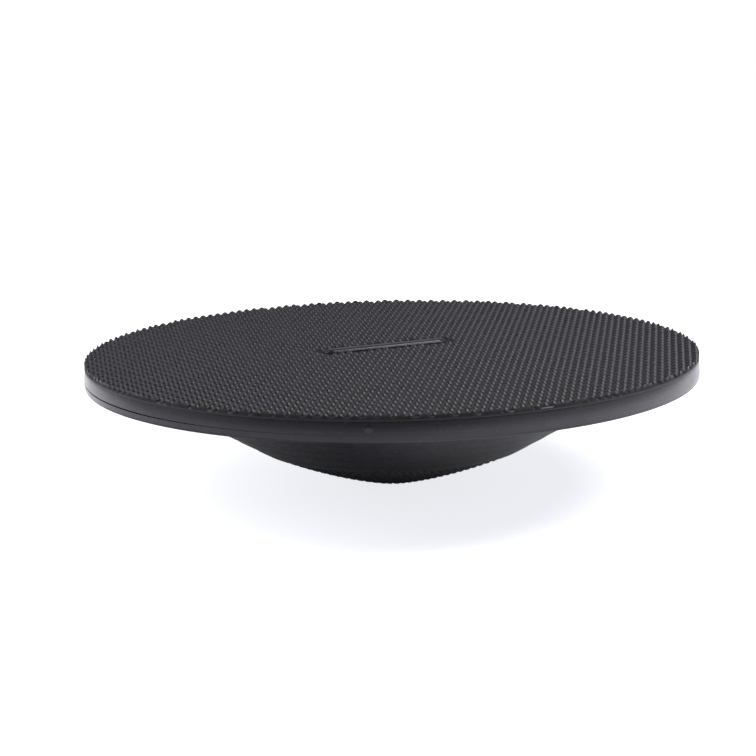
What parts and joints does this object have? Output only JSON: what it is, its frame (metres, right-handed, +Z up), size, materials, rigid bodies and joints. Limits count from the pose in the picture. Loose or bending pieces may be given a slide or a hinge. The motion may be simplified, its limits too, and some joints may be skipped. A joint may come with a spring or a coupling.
{
  "type": "wobble board",
  "caption": "Round wobble board: a flat deck with a nubbed rubber standing mat on a shallow conical shell, which rocks on a crowned rubber grip pad.",
  "frame": {"origin": "on the floor, under the middle of the pad's flat foot, with the deck level", "axes": "+Z up, square to the deck; -Y towards the picture's viewer; +X to the viewer's right"},
  "size_m": [0.3998, 0.3998, 0.0882],
  "materials": {
    "mat_rubber": "satin moulded nubs",
    "hard_plastic": "satin moulded",
    "pad_rubber": "matte moulded nubs",
    "screw_steel": "black oxide"
  },
  "bodies": {
    "root": {"nub_mat": "mat_rubber", "top_deck": "hard_plastic", "lower_shell": "hard_plastic", "grip_pad": "pad_rubber", "rim_screw_01": "screw_steel", "rim_screw_02": "screw_steel", "rim_screw_03": "screw_steel", "rim_screw_04": "screw_steel", "rim_screw_05": "screw_steel", "rim_screw_06": "screw_steel", "rim_screw_07": "screw_steel", "rim_screw_08": "screw_steel", "rim_screw_09": "screw_steel", "rim_screw_10": "screw_steel", "rim_screw_11": "screw_steel", "rim_screw_12": "screw_steel", "hub_screw_01": "screw_steel", "hub_screw_02": "screw_steel", "hub_screw_03": "screw_steel", "hub_screw_04": "screw_steel"}
  },
  "joints": []
}
